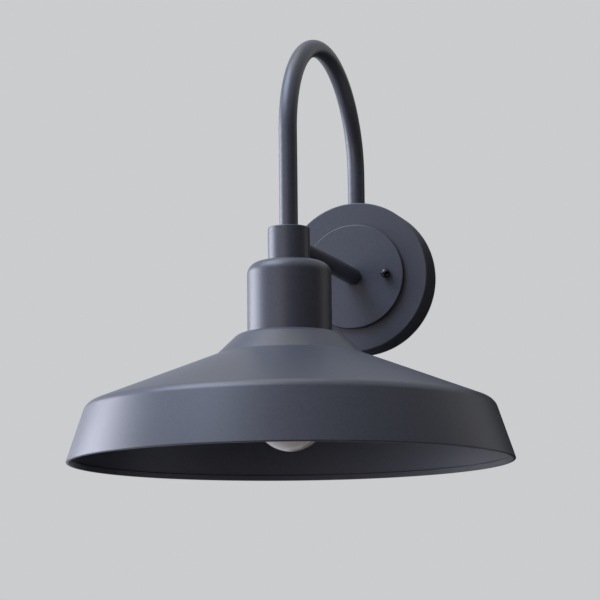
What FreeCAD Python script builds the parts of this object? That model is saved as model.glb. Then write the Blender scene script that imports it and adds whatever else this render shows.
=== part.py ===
"""Gooseneck wall sconce: a wide cone shade on a socket cup, held by a gooseneck and a straight strut.

All sizes are in millimetres. The wall is the plane y = 0 and the sconce stands out from it towards -Y, with
Z up. The origin is the middle of the bracket's back face. The strut runs out along y at z = 0 to the hub, and
the lamp's own axis is the vertical line through the hub, at y = -reach.
"""
import FreeCAD
import Part

import math
import os

V = FreeCAD.Vector

# --- clearances -----------------------------------------------------------------------------------------
thread_gap = 0.05           # a threaded or pressed pair, drawn as two plain cylinders
hole_gap = 0.2              # a screw or a nipple in a plain hole
seat_gap = 0.1              # a tube in its counterbore
bulb_gap = 0.3              # the bulb from the lampholder, on its side and at its tip
overcut = 1.0               # how far a cutting tool runs past the face it opens

# --- backplate and gasket -------------------------------------------------------------------------------
backplate_radius = 67.0
backplate_depth = 28.5      # from the gasket to the front of the rim
backplate_wall = 2.5
backplate_edge_round = 1.0
step_radius = 46.5
step_height = 4.2
step_edge_round = 0.8
boss_depth = 9.0            # the boss inside the rim that the gooseneck's nipple passes through
boss_margin = 2.4
gasket_thickness = 2.0
gasket_width = 6.5
gasket_inset = 0.5

# --- mounting bracket, studs and cap nuts ---------------------------------------------------------------
stud_spacing = 63.0
stud_radius = 2.1
stud_grip = 5.5             # how far a stud stands into its cap nut
stud_nut_wall = 2.2
stud_nut_height = 3.2
bracket_thickness = 1.6
bracket_width = 20.0
bracket_rim_gap = 6.0       # from the end of the upright bar to the gasket
bracket_hole_radius = 5.2
stud_end_margin = 6.0
slot_end_margin = 11.0      # from a slot's middle to the end of the upright bar
slot_length = 11.0
slot_radius = 2.3
cap_nut_ball_radius = 4.2
cap_nut_neck_radius = 3.3
cap_nut_neck_length = 4.0   # from the backplate to the middle of the ball

# --- tubes, nipples, washers and pipe nuts --------------------------------------------------------------
tube_radius = 7.5
tube_wall = 1.2
leg_gap = 0.4               # from the gooseneck's washer to the inside of the backplate's front
bend_centre_height = 94.0
nipple_radius = 5.0
nipple_bore = 3.5
nipple_grip = 10.0          # how far a nipple screws into a tube's bushing
nipple_reach = 8.0          # how far it screws into the hub
nipple_end = 1.3            # how far it stands past its nut
bushing_length = 12.0
pipe_nut_wall = 2.0
pipe_nut_height = 3.0
washer_width = 2.6
washer_thickness = 0.8

# --- hub and socket cup ---------------------------------------------------------------------------------
hub_radius = 17.0
hub_top = 12.0
hub_bottom = -16.5
hub_edge_round = 1.0
hub_counterbore = 1.5
cup_radius = 34.0
cup_height = 58.0
cup_wall = 1.2
cup_top_round = 10.0

# --- shade ----------------------------------------------------------------------------------------------
shade_radius = 178.0
shade_wall_gap = 22.0       # from the back of the shade's rim to the wall
shade_sheet = 1.2
neck_margin = 7.2           # from the cup's side to the corner of the flat top
crown_run = 18.1
crown_height = 17.5
crown_round = 10.5
cone_height = 40.3
shoulder_round = 9.5
skirt_height = 45.4
skirt_inset = 15.0
hem_thickness = 2.2
hem_height = 5.0
hem_round = 0.9

# --- lampholder -----------------------------------------------------------------------------------------
holder_height = 42.0
holder_wall = 5.0
holder_edge_round = 1.5
holder_cavity = 27.0
skirt_step = 1.0            # how much the threaded skirt is wider than the body
skirt_drop = 9.5            # how far it reaches below the shade's flat top
flange_width = 5.0
flange_height = 3.5
flange_edge_round = 0.8
shade_hole_gap = 0.6
shade_gasket_thickness = 1.0
shade_ring_width = 6.0
shade_ring_height = 6.5
shade_ring_edge_round = 1.2
grip_radius = 1.5
grip_count = 12
shell_thickness = 0.4
shell_mouth_gap = 2.5
shell_roof_gap = 4.0

# --- contact, saddle and small screws -------------------------------------------------------------------
tongue_thickness = 0.5
tongue_width = 6.0
tongue_drop = 1.4
tongue_reach = 3.8          # how far the tongue runs past the lamp's axis
tongue_screw_offset = 8.0
tongue_screw_length = 6.0
saddle_thickness = 1.2
saddle_margin = 0.8         # from the nipple's hole to the strip's edge
saddle_half_length = 11.4
saddle_foot = 5.4
saddle_screw_length = 8.0
small_screw_radius = 1.6
small_head_height = 1.6
small_head_margin = 0.8
terminal_head_margin = 2.0
terminal_head_height = 2.2
terminal_head_round = 0.6
terminal_screw_length = 5.0
pocket_width = 12.0
pocket_depth = 6.5
pocket_height = 12.0

# --- bulb -----------------------------------------------------------------------------------------------
bulb_radius = 30.0
bulb_length = 110.0
bulb_glass_wall = 0.8
bulb_neck_radius = 11.6
bulb_waist_round = 40.0
cap_radius = 13.2
cap_length = 22.0
cap_sheet = 0.3
cap_hole_radius = 9.4
cap_thread_pitch = 3.63
cap_thread_depth = 0.8
cap_skirt = 3.5             # the plain stretch of the cap, next to the glass
cap_roof = 2.5              # the plain stretch above the thread
neck_in_cap = 16.0
insulator_radius = 10.4
insulator_height = 3.0
contact_radius = 4.8
contact_height = 1.0
contact_edge_round = 0.8
stem_flange = 0.8
stem_flare_length = 12.0
stem_flare_edge = 2.0
stem_length = 34.0
stem_upper_radius = 3.5
stem_tip_radius = 2.2
stem_fillet = 6.0
filament_wire_radius = 0.35
filament_wire_offset = 1.2
filament_wire_straight = 6.0
filament_wire_drop = 20.0
filament_wire_bend = 4.0
filament_half_length = 12.0
filament_radius = 0.3

# --- wiring ---------------------------------------------------------------------------------------------
wire_radius = 1.1
wire_gap = 0.1
lead_offset = 1.3           # each lead from the middle of the bores
lead_plane = 15.0           # the leads' distance from the wall inside the backplate
lead_drop = 28.0
lead_tail = 2.5             # how far a lead runs past its terminal screw
lead_swing = 4.8            # from each end of the sideways run to the corner of its bend
lead_swing_bend = 12.0
lead_hub_bend = 10.0
lead_wall_bend = 11.5
lead_side_bend = 11.0
lead_entry = 5.0            # how far inside the cup's nipple the sideways run ends
connector_start = 18.0
connector_length = 22.0
connector_radius = 6.5
connector_tip_radius = 4.0
connector_tip_round = 1.5
connector_mouth_radius = 4.6
connector_funnel = 5.0
connector_bore_depth = 13.0
connector_grip = 10.0       # how far a lead reaches into its connector
lug_thickness = 0.6
lug_width = 2.6
lug_tab_length = 6.0
lug_tab_width = 4.0
ground_screw_offset = 12.5
ground_screw_radius = 2.4
ground_head_margin = 2.2
ground_head_height = 2.6
ground_head_round = 0.8
ground_wire_side = 26.5     # how far out the ground wire swings
ground_wire_bend = 8.0
ground_wire_end_gap = 1.0

# --- places worked out from the sizes above -------------------------------------------------------------
washer_radius = nipple_radius + washer_width
nipple_hole = nipple_radius + hole_gap
nipple_thread = nipple_radius + thread_gap
reach = shade_radius + shade_wall_gap
rim_front = gasket_thickness + backplate_depth
pan_front = rim_front - backplate_wall
pan_radius = backplate_radius - backplate_wall
step_front = rim_front + step_height
step_back = step_front - backplate_wall
gasket_outer = backplate_radius - gasket_inset
gasket_inner = gasket_outer - gasket_width
bar_half_height = gasket_inner - bracket_rim_gap
slot_height = bar_half_height - slot_end_margin

leg_offset = pan_front - max(tube_radius, washer_radius) - leg_gap
bend_radius = (reach - leg_offset) / 2
boss_face = backplate_radius - boss_depth
tube_bore = tube_radius - tube_wall
hub_seat = tube_radius + seat_gap
strut_end = reach - math.sqrt(hub_radius**2 - hub_seat**2) + seat_gap
gooseneck_start = hub_top - hub_counterbore
nut_stack = pipe_nut_height + nipple_end
strut_lug_back = step_back - washer_thickness - lug_thickness

cup_bottom = hub_bottom - cup_height
cup_roof = hub_bottom - cup_wall
shade_top = cup_bottom
crown_foot = shade_top - crown_height
shoulder = crown_foot - cone_height
shade_rim = shoulder - skirt_height
shell_inner = cap_radius + bulb_gap
cavity_radius = shell_inner + shell_thickness + thread_gap
holder_radius = cavity_radius + holder_wall
holder_skirt = holder_radius + skirt_step
flange_radius = holder_skirt + flange_width
shade_hole = holder_skirt + shade_hole_gap
holder_mouth = shade_top - skirt_drop
holder_top = holder_mouth + holder_height
cavity_top = holder_mouth + holder_cavity
flange_bottom = shade_top + shade_gasket_thickness
terminal_floor = holder_radius - pocket_depth
terminal_height = holder_top - pocket_height / 2
saddle_width = 2 * (nipple_hole + saddle_margin)
saddle_screw_place = saddle_half_length + saddle_foot / 2
cup_nut_top = cup_roof - saddle_thickness - washer_thickness
cup_nipple_bottom = cup_nut_top - nut_stack

bulb_tip = cavity_top - tongue_drop - bulb_gap
bulb_bottom = bulb_tip - bulb_length
bulb_centre = bulb_bottom + bulb_radius
cap_top = bulb_tip - contact_height - insulator_height
cap_bottom = cap_top - cap_length
neck_top = cap_bottom + neck_in_cap
cap_root = cap_radius - cap_thread_depth
cap_inner = cap_root - cap_sheet
stem_tip = neck_top - stem_length
filament_wire_tip = stem_tip - filament_wire_drop

OUT = V(0, -1, 0)
UP = V(0, 0, 1)
WALL_CENTRE = V(0, 0, 0)
LAMP_AXIS = V(0, -reach, 0)
LEG_AXIS = V(0, -leg_offset, 0)


# --- drawing helpers ------------------------------------------------------------------------------------
def rounded_edges(points, rounds, closed):
    """Straight edges through the points, with a tangent arc of the given radius at each corner named."""
    count = len(points)
    arrive, leave, arcs = list(points), list(points), {}
    for i, radius in rounds.items():
        corner = points[i]
        back = (points[i - 1] - corner).normalize()
        ahead = (points[(i + 1) % count] - corner).normalize()
        half = back.getAngle(ahead) / 2
        trim = radius / math.tan(half)
        to_centre = (back + ahead).normalize()
        middle = corner + to_centre * (radius / math.sin(half) - radius)
        arrive[i], leave[i] = corner + back * trim, corner + ahead * trim
        arcs[i] = Part.Arc(arrive[i], middle, leave[i]).toShape()
    edges = []
    for i in range(count):
        if i in arcs:
            edges.append(arcs[i])
        following = (i + 1) % count
        is_run = closed or following > 0
        if is_run and (arrive[following] - leave[i]).Length > 1e-6:
            edges.append(Part.LineSegment(leave[i], arrive[following]).toShape())
    return edges


def placed(shape, base, direction):
    """The shape, drawn about the local Z axis, stood at base along direction."""
    shape.Placement = FreeCAD.Placement(base, FreeCAD.Rotation(UP, direction))
    return shape


def turned(outline, base, direction, rounds=None):
    """A solid of revolution from a closed outline of (radius, distance along the axis) corners."""
    corners = [V(radius, 0, along) for radius, along in outline]
    wire = Part.Wire(rounded_edges(corners, rounds or {}, True))
    return placed(Part.Face(wire).revolve(V(0, 0, 0), UP, 360), base, direction)


def ring(outer, inner, low, high, base, direction):
    return turned([(inner, low), (outer, low), (outer, high), (inner, high)], base, direction)


def rod(radius, low, high, base, direction):
    return placed(Part.makeCylinder(radius, high - low, V(0, 0, low)), base, direction)


def block(x, y, z):
    """A box between two values on each axis."""
    return Part.makeBox(x[1] - x[0], y[1] - y[0], z[1] - z[0], V(x[0], y[0], z[0]))


def prism(points, thickness):
    """A flat shape through the points, thickened the other way along Y."""
    return Part.Face(Part.makePolygon(points + points[:1])).extrude(V(0, -thickness, 0))


def without(body, tools):
    for tool in tools:
        body = body.cut(tool)
    return body


def swept(points, bends, radius):
    """A round rod along the points, with a tangent arc of the given radius at each inner point."""
    maker = Part.BRepOffsetAPI.MakePipeShell(Part.Wire(rounded_edges(points, bends, False)))
    maker.add(Part.Wire([Part.Circle(points[0], points[1] - points[0], radius).toShape()]))
    maker.build()
    maker.makeSolid()
    return maker.shape()


def hexagon(flats, low, high, base, direction, turn):
    """A hexagonal prism. At a turn of 0 its corners lie on the local X axis."""
    corner = flats / 2 / math.cos(math.pi / 6)
    angles = [math.radians(60 * k + turn) for k in range(6)]
    points = [V(corner * math.cos(angle), corner * math.sin(angle), low) for angle in angles]
    face = Part.Face(Part.makePolygon(points + points[:1]))
    return placed(face.extrude(V(0, 0, high - low)), base, direction)


def screw(radius, length, head_radius, head_height, base, direction, head_round=0.3):
    """A screw whose head starts at base and faces along direction."""
    outline = [
        (0, -length),
        (radius, -length),
        (radius, 0),
        (head_radius, 0),
        (head_radius, head_height),
        (0, head_height),
    ]
    return turned(outline, base, direction, {4: head_round})


def both_sides(make):
    """Two copies of one piece, made for the sides +1 and -1."""
    return Part.makeCompound([make(side) for side in (1, -1)])


def from_lamp(x, y, z):
    """A point given from the lamp's axis."""
    return V(x, y - reach, z)


# --- mounting bracket, studs and cap nuts ---------------------------------------------------------------
def stud_place(side):
    return V(side * stud_spacing / 2, 0, 0)


def ground_screw_place():
    return V(-ground_screw_offset, 0, 0)


def box_screw_slot(side):
    """The slot for one wall box screw, lying along the upright bar."""
    middle = side * slot_height
    half_run = slot_length / 2 - slot_radius
    ends = [middle - half_run, middle + half_run]
    slot = block((-slot_radius, slot_radius), (-bracket_thickness, 0), ends)
    for end in ends:
        slot = slot.fuse(rod(slot_radius, 0, bracket_thickness, V(0, 0, end), OUT))
    return slot


def mounting_bracket():
    """A flat cross: the level bar holds the studs, and the upright bar has the box screws' slots."""
    half_width = bracket_width / 2
    half_length = stud_spacing / 2 + stud_end_margin
    depth = (-bracket_thickness, 0)
    level = block((-half_length, half_length), depth, (-half_width, half_width))
    upright = block((-half_width, half_width), depth, (-bar_half_height, bar_half_height))
    holes = [
        rod(bracket_hole_radius, 0, bracket_thickness, WALL_CENTRE, OUT),
        rod(ground_screw_radius + thread_gap, 0, bracket_thickness, ground_screw_place(), OUT),
    ]
    for side in (1, -1):
        holes.append(rod(stud_radius + thread_gap, 0, bracket_thickness, stud_place(side), OUT))
        holes.append(box_screw_slot(side))
    return without(level.fuse(upright).removeSplitter(), holes)


def mounting_stud(side):
    return rod(stud_radius, 0, step_front + stud_grip, stud_place(side), OUT)


def stud_nut(side):
    """The hexagon nut that locks a stud to the bracket."""
    low, high = bracket_thickness, bracket_thickness + stud_nut_height
    bore = rod(stud_radius + thread_gap, low, high, stud_place(side), OUT)
    return hexagon(2 * (stud_radius + stud_nut_wall), low, high, stud_place(side), OUT, 30).cut(bore)


def cap_nut(side):
    """A ball nut on a short neck, with a blind bore for the end of the stud."""
    base = stud_place(side) + OUT * step_front
    ball = Part.makeSphere(cap_nut_ball_radius, V(0, 0, cap_nut_neck_length))
    ball = ball.common(Part.makeCylinder(cap_nut_ball_radius, cap_nut_neck_length + cap_nut_ball_radius))
    neck = Part.makeCylinder(cap_nut_neck_radius, cap_nut_neck_length)
    bore = Part.makeCylinder(stud_radius + thread_gap, stud_grip + hole_gap)
    return placed(ball.fuse(neck).cut(bore), base, OUT)


# --- backplate and gasket -------------------------------------------------------------------------------
def wall_gasket():
    return ring(gasket_outer, gasket_inner, 0, gasket_thickness, WALL_CENTRE, OUT)


def rim_boss():
    """The block inside the top of the rim that gives the gooseneck's nut a flat face."""
    half_width = washer_radius + boss_margin
    back = leg_offset - washer_radius - leg_gap
    outline = block((-half_width, half_width), (-pan_front, -back), (boss_face, backplate_radius))
    return outline.common(rod(backplate_radius - backplate_wall / 2, back, pan_front, WALL_CENTRE, OUT))


def backplate():
    """A deep round pan, open to the wall, with a raised disc on its front."""
    step_inner = step_radius - backplate_wall
    outline = [
        (backplate_radius, gasket_thickness),
        (backplate_radius, rim_front),
        (step_radius, rim_front),
        (step_radius, step_front),
        (0, step_front),
        (0, step_back),
        (step_inner, step_back),
        (step_inner, pan_front),
        (pan_radius, pan_front),
        (pan_radius, gasket_thickness),
    ]
    pan = turned(outline, WALL_CENTRE, OUT, {1: backplate_edge_round, 3: step_edge_round})
    back, front = step_back - overcut, step_front + overcut
    holes = [
        rod(nipple_hole, boss_face - overcut, backplate_radius + overcut, LEG_AXIS, UP),
        rod(nipple_hole, back, front, WALL_CENTRE, OUT),
    ]
    holes += [rod(stud_radius + hole_gap, back, front, stud_place(side), OUT) for side in (1, -1)]
    return without(pan.fuse(rim_boss()).removeSplitter(), holes)


# --- the two tubes and their fittings -------------------------------------------------------------------
def gooseneck_tube():
    """Up from the hub, over in a half circle and down to the rim, whose curve cuts its end."""
    top = bend_centre_height + bend_radius
    corners = [
        V(0, -reach, gooseneck_start),
        V(0, -reach, top),
        V(0, -leg_offset, top),
        V(0, -leg_offset, boss_face),
    ]
    bends = {1: bend_radius, 2: bend_radius}
    tube = swept(corners, bends, tube_radius).cut(swept(corners, bends, tube_bore))
    return tube.cut(rod(backplate_radius, 0, step_front, WALL_CENTRE, OUT))


def strut_tube():
    return ring(tube_radius, tube_bore, step_front, strut_end, WALL_CENTRE, OUT)


def tube_bushing(base, direction, low):
    """A threaded plug brazed into the end of a tube."""
    return ring(tube_bore - thread_gap, nipple_thread, low, low + bushing_length, base, direction)


def nipple(base, direction, low, high):
    return ring(nipple_radius, nipple_bore, low, high, base, direction)


def lock_washer(base, direction, low):
    return ring(washer_radius, nipple_hole, low, low + washer_thickness, base, direction)


def pipe_nut(base, direction, low, turn=0):
    high = low + pipe_nut_height
    body = hexagon(2 * (nipple_radius + pipe_nut_wall), low, high, base, direction, turn)
    return body.cut(rod(nipple_thread, low, high, base, direction))


def tube_fittings():
    """The bushing and nipple in each tube end, the cup's nipple, and their washers and nuts."""
    wall, leg, lamp = (WALL_CENTRE, OUT), (LEG_AXIS, UP), (LAMP_AXIS, UP)
    leg_nut_top = boss_face - washer_thickness
    return {
        "strut_wall_bushing": tube_bushing(*wall, step_front),
        "strut_hub_bushing": tube_bushing(*wall, strut_end - bushing_length),
        "gooseneck_wall_bushing": tube_bushing(*leg, backplate_radius),
        "gooseneck_hub_bushing": tube_bushing(*lamp, gooseneck_start),
        "strut_wall_nipple": nipple(*wall, strut_lug_back - nut_stack, step_front + nipple_grip),
        "strut_hub_nipple": nipple(*wall, strut_end - nipple_grip, strut_end + nipple_reach),
        "gooseneck_wall_nipple": nipple(*leg, leg_nut_top - nut_stack, backplate_radius + nipple_grip),
        "gooseneck_hub_nipple": nipple(*lamp, gooseneck_start - nipple_reach, gooseneck_start + nipple_grip),
        "cup_nipple": nipple(*lamp, cup_nipple_bottom, hub_bottom + nipple_reach),
        "strut_lock_washer": lock_washer(*wall, step_back - washer_thickness),
        "gooseneck_lock_washer": lock_washer(*leg, leg_nut_top),
        "cup_lock_washer": lock_washer(*lamp, cup_nut_top),
        "strut_lock_nut": pipe_nut(*wall, strut_lug_back - pipe_nut_height),
        "gooseneck_lock_nut": pipe_nut(*leg, leg_nut_top - pipe_nut_height),
        "cup_lock_nut": pipe_nut(*lamp, cup_nut_top - pipe_nut_height),
    }


# --- hub, socket cup and shade --------------------------------------------------------------------------
def hub():
    """The turned block where both tubes and the cup meet, bored through for the leads."""
    outline = [(0, hub_bottom), (hub_radius, hub_bottom), (hub_radius, hub_top), (0, hub_top)]
    bores = [
        rod(hub_seat, gooseneck_start, hub_top, LAMP_AXIS, UP),
        rod(hub_seat, reach - hub_radius - overcut, strut_end, WALL_CENTRE, OUT),
        rod(nipple_thread, hub_bottom, hub_top, LAMP_AXIS, UP),
        rod(nipple_thread, strut_end, reach, WALL_CENTRE, OUT),
    ]
    return without(turned(outline, LAMP_AXIS, UP, {2: hub_edge_round}), bores)


def socket_cup():
    """A deep drawn cup, open below, with a well rounded top."""
    inner = cup_radius - cup_wall
    outline = [
        (nipple_hole, hub_bottom),
        (cup_radius, hub_bottom),
        (cup_radius, cup_bottom),
        (inner, cup_bottom),
        (inner, cup_roof),
        (nipple_hole, cup_roof),
    ]
    return turned(outline, LAMP_AXIS, UP, {1: cup_top_round, 4: cup_top_round - cup_wall})


def inner_corner(before, corner, after):
    """Where a corner of the shade's outside lies on the inside of the sheet."""
    into = (corner - before).normalize()
    out = (after - corner).normalize()
    inward_in, inward_out = V(into.z, 0, -into.x), V(out.z, 0, -out.x)
    middle = (inward_in + inward_out).normalize()
    return corner + middle * (shade_sheet / middle.dot(inward_in))


def shade():
    """One spun sheet: flat top, steep crown, shallow cone and flared skirt, with a folded hem."""
    neck = cup_radius + neck_margin
    outside = [
        V(shade_hole, 0, shade_top),
        V(neck, 0, shade_top),
        V(neck + crown_run, 0, crown_foot),
        V(shade_radius - skirt_inset, 0, shoulder),
        V(shade_radius, 0, shade_rim),
    ]
    inside = [inner_corner(*outside[i - 1 : i + 2]) for i in (3, 2, 1)]
    down = (outside[4] - outside[3]).normalize()
    inward = V(down.z, 0, -down.x)
    hem_top = outside[4] - down * hem_height
    hem = [
        outside[4] + inward * hem_thickness,
        hem_top + inward * hem_thickness,
        hem_top + inward * shade_sheet,
    ]
    corners = outside + hem + inside + [V(shade_hole, 0, shade_top - shade_sheet)]
    rounds = {
        1: crown_round,
        3: shoulder_round,
        4: hem_round,
        5: hem_round,
        8: shoulder_round - shade_sheet,
        10: crown_round - shade_sheet,
    }
    return turned([(corner.x, corner.z) for corner in corners], LAMP_AXIS, UP, rounds)


# --- lampholder -----------------------------------------------------------------------------------------
def saddle_screw_point(side):
    return from_lamp(side * saddle_screw_place, 0, holder_top + saddle_thickness)


def saddle_bracket():
    """A hat-shaped strip that hangs the lampholder from the cup's nipple."""
    inner = saddle_half_length - saddle_thickness
    tip = saddle_half_length + saddle_foot
    foot_top = holder_top + saddle_thickness
    half = [
        (saddle_half_length, cup_roof),
        (saddle_half_length, foot_top),
        (tip, foot_top),
        (tip, holder_top),
        (inner, holder_top),
        (inner, cup_roof - saddle_thickness),
    ]
    outline = half + [(-x, z) for x, z in reversed(half)]
    strip = prism([from_lamp(x, saddle_width / 2, z) for x, z in outline], saddle_width)
    holes = [rod(nipple_hole, cup_roof - saddle_thickness, cup_roof, LAMP_AXIS, UP)]
    holes += [
        rod(small_screw_radius + hole_gap, -saddle_thickness, 0, saddle_screw_point(side), UP)
        for side in (1, -1)
    ]
    return without(strip, holes)


def saddle_screw(side):
    head = small_screw_radius + small_head_margin
    base = saddle_screw_point(side)
    return screw(small_screw_radius, saddle_screw_length, head, small_head_height, base, UP)


def terminal_pocket(side):
    """The notch in the lampholder's side that gives room for one terminal."""
    half = pocket_width / 2
    span = sorted(side * distance - reach for distance in (terminal_floor, holder_radius + overcut))
    return block((-half, half), span, (holder_top - pocket_height, holder_top))


def holder_screw_holes(side):
    """The threaded holes for one saddle screw and one terminal screw."""
    bore = small_screw_radius + thread_gap
    bottom = terminal_floor - terminal_screw_length
    return [
        rod(bore, -saddle_screw_length, 0, saddle_screw_point(side), UP),
        rod(bore, bottom, terminal_floor, from_lamp(0, 0, terminal_height), V(0, side, 0)),
    ]


def tongue_screw_point():
    return from_lamp(-tongue_screw_offset, 0, cavity_top - tongue_thickness)


def lampholder_body():
    """The glazed porcelain body. Its flange and the ring below it clamp the shade."""
    outline = [
        (0, holder_top),
        (holder_radius, holder_top),
        (holder_radius, flange_bottom + flange_height),
        (flange_radius, flange_bottom + flange_height),
        (flange_radius, flange_bottom),
        (holder_skirt, flange_bottom),
        (holder_skirt, holder_mouth),
        (cavity_radius, holder_mouth),
        (cavity_radius, cavity_top),
        (0, cavity_top),
    ]
    cuts = [rod(small_screw_radius + thread_gap, 0, tongue_screw_length, tongue_screw_point(), UP)]
    for side in (1, -1):
        cuts += [terminal_pocket(side)] + holder_screw_holes(side)
    return without(turned(outline, LAMP_AXIS, UP, {1: holder_edge_round, 3: flange_edge_round}), cuts)


def terminal_screw(side):
    """The screw that holds one lead against the floor of its pocket."""
    under_head = terminal_floor + 2 * (wire_radius + wire_gap)
    base, direction = from_lamp(0, side * under_head, terminal_height), V(0, side, 0)
    length = terminal_screw_length + under_head - terminal_floor
    head = small_screw_radius + terminal_head_margin
    return screw(small_screw_radius, length, head, terminal_head_height, base, direction, terminal_head_round)


def lampholder_shell():
    """The screw shell pressed into the porcelain, drawn at the crest of its thread."""
    low, high = holder_mouth + shell_mouth_gap, cavity_top - shell_roof_gap
    return ring(shell_inner + shell_thickness, shell_inner, low, high, LAMP_AXIS, UP)


def centre_contact():
    """A springy brass tongue, flat where it is screwed to the roof and bent down over the bulb's tip."""
    low = cavity_top - tongue_drop
    fixed = tongue_screw_offset + tongue_width / 2
    bend = tongue_screw_offset - tongue_width / 2
    tip = tongue_reach
    upper = [(-fixed, cavity_top), (-bend, cavity_top), (-tip / 2, low + tongue_thickness)]
    upper.append((tip, low + tongue_thickness))
    lower = [(tip, low), (-tip / 2, low), (-bend, cavity_top - tongue_thickness)]
    lower.append((-fixed, cavity_top - tongue_thickness))
    strip = prism([from_lamp(x, tongue_width / 2, z) for x, z in upper + lower], tongue_width)
    hole = rod(small_screw_radius + thread_gap, 0, tongue_thickness, tongue_screw_point(), UP)
    return strip.cut(hole)


def contact_screw():
    """The screw that fixes the tongue, with its head inside the cavity."""
    head = small_screw_radius + small_head_margin
    point = tongue_screw_point()
    return screw(small_screw_radius, tongue_screw_length, head, small_head_height, point, V(0, 0, -1))


def shade_gasket():
    return ring(flange_radius, shade_hole, shade_top, flange_bottom, LAMP_AXIS, UP)


def shade_ring():
    """The ring that screws onto the lampholder's skirt, with finger grooves round its side."""
    high = shade_top - shade_sheet
    low = high - shade_ring_height
    outer = holder_skirt + shade_ring_width
    inner = holder_skirt + thread_gap
    outline = [(inner, low), (outer, low), (outer, high), (inner, high)]
    grooves = []
    for k in range(grip_count):
        angle = 2 * math.pi * k / grip_count
        centre = from_lamp(outer * math.cos(angle), outer * math.sin(angle), 0)
        grooves.append(rod(grip_radius, low, high - grip_radius, centre, UP))
    return without(turned(outline, LAMP_AXIS, UP, {1: shade_ring_edge_round}), grooves)


# --- bulb -----------------------------------------------------------------------------------------------
def bulb_profile(inset):
    """Ball, waist and neck as three tangent edges from the foot up, moved in by the inset."""
    ball = V(0, 0, bulb_centre)
    across = bulb_neck_radius + bulb_waist_round
    rise = math.sqrt((bulb_radius + bulb_waist_round) ** 2 - across**2)
    waist = ball + V(across, 0, rise)
    outward = (waist - ball).normalize()
    radius, waist_radius = bulb_radius - inset, bulb_waist_round + inset
    foot = ball - UP * radius
    meeting = ball + outward * radius
    neck = waist - V(waist_radius, 0, 0)
    belly = (V(0, 0, -1) + outward).normalize()
    pinch = ((meeting - waist).normalize() + (neck - waist).normalize()).normalize()
    top = V(neck.x, 0, neck_top)
    return [
        Part.Arc(foot, ball + belly * radius, meeting).toShape(),
        Part.Arc(meeting, waist + pinch * waist_radius, neck).toShape(),
        Part.LineSegment(neck, top).toShape(),
    ]


def end_points(edges):
    return edges[0].Vertexes[0].Point, edges[-1].Vertexes[-1].Point


def bulb_glass():
    """The blown envelope, from its round foot to the neck inside the cap."""
    outer, inner = bulb_profile(0), bulb_profile(bulb_glass_wall)
    outer_foot, outer_top = end_points(outer)
    inner_foot, inner_top = end_points(inner)
    ends = [Part.LineSegment(outer_top, inner_top), Part.LineSegment(inner_foot, outer_foot)]
    wire = Part.Wire(Part.__sortEdges__(outer + inner + [end.toShape() for end in ends]))
    return placed(Part.Face(wire).revolve(V(0, 0, 0), UP, 360), LAMP_AXIS, UP)


def bulb_cap():
    """The rolled screw cap. Its thread is drawn as rings, one pitch apart."""
    outline = [(cap_inner, cap_bottom), (cap_root, cap_bottom)]
    turns = int((cap_length - cap_skirt - cap_roof) / cap_thread_pitch)
    for k in range(turns):
        foot = cap_bottom + cap_skirt + k * cap_thread_pitch
        outline += [
            (cap_root, foot),
            (cap_radius, foot + cap_thread_pitch / 3),
            (cap_radius, foot + cap_thread_pitch * 2 / 3),
        ]
    outline += [
        (cap_root, cap_bottom + cap_skirt + turns * cap_thread_pitch),
        (cap_root, cap_top),
        (cap_hole_radius, cap_top),
        (cap_hole_radius, cap_top - cap_sheet),
        (cap_inner, cap_top - cap_sheet),
    ]
    return turned(outline, LAMP_AXIS, UP)


def cap_cement():
    """The ring of cement that holds the glass neck in the cap."""
    return ring(cap_inner, bulb_neck_radius, cap_bottom, neck_top, LAMP_AXIS, UP)


def bulb_insulator():
    """The black glass cone between the cap and the contact."""
    high = bulb_tip - contact_height
    outline = [(0, cap_top), (insulator_radius, cap_top), (contact_radius, high), (0, high)]
    return turned(outline, LAMP_AXIS, UP)


def bulb_contact():
    outline = [(0, bulb_tip - contact_height), (contact_radius, bulb_tip - contact_height)]
    outline += [(contact_radius, bulb_tip), (0, bulb_tip)]
    return turned(outline, LAMP_AXIS, UP, {2: contact_edge_round})


def bulb_stem():
    """The glass stem, fused to the neck's end, that carries the filament wires."""
    flare = bulb_neck_radius - bulb_glass_wall - wire_gap
    outline = [
        (0, neck_top + stem_flange),
        (bulb_neck_radius, neck_top + stem_flange),
        (bulb_neck_radius, neck_top),
        (flare, neck_top),
        (flare, neck_top - stem_flare_edge),
        (stem_upper_radius, neck_top - stem_flare_length),
        (stem_tip_radius, stem_tip),
        (0, stem_tip),
    ]
    return turned(outline, LAMP_AXIS, UP, {5: stem_fillet})


def filament_wire(side):
    """A wire from the stem's tip down and out to one end of the filament."""
    x = side * filament_wire_offset
    route = [
        from_lamp(x, 0, stem_tip),
        from_lamp(x, 0, stem_tip - filament_wire_straight),
        from_lamp(side * filament_half_length, 0, filament_wire_tip),
    ]
    return swept(route, {1: filament_wire_bend}, filament_wire_radius)


def filament():
    height = filament_wire_tip - filament_wire_radius - filament_radius
    end = from_lamp(-filament_half_length, 0, height)
    return rod(filament_radius, 0, 2 * filament_half_length, end, V(1, 0, 0))


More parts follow.
